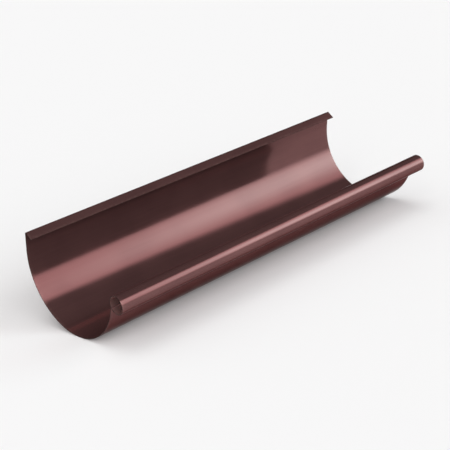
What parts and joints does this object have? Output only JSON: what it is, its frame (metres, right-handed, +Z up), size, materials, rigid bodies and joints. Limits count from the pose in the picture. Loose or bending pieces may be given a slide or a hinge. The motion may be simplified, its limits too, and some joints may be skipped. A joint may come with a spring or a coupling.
{
  "type": "half-round gutter section",
  "caption": "Half-round gutter length rolled from one coated steel sheet, with a tubular bead along the front edge and an inward-folded lip along the back, carrying roof rainwater.",
  "frame": {"origin": "on the ground, under the middle of the section's box, halfway along the gutter", "axes": "+X along the gutter, +Y to the back wall with the folded lip, -Y to the front with the rolled bead, +Z up; the section lies tipped 12.5 degrees towards its bead, as it rests unheld"},
  "size_m": [0.422, 0.1388, 0.0937],
  "materials": {
    "coated_steel": "semi-gloss polyester coil coating, chocolate brown on both faces"
  },
  "bodies": {
    "root": {"gutter": "coated_steel"}
  },
  "joints": []
}
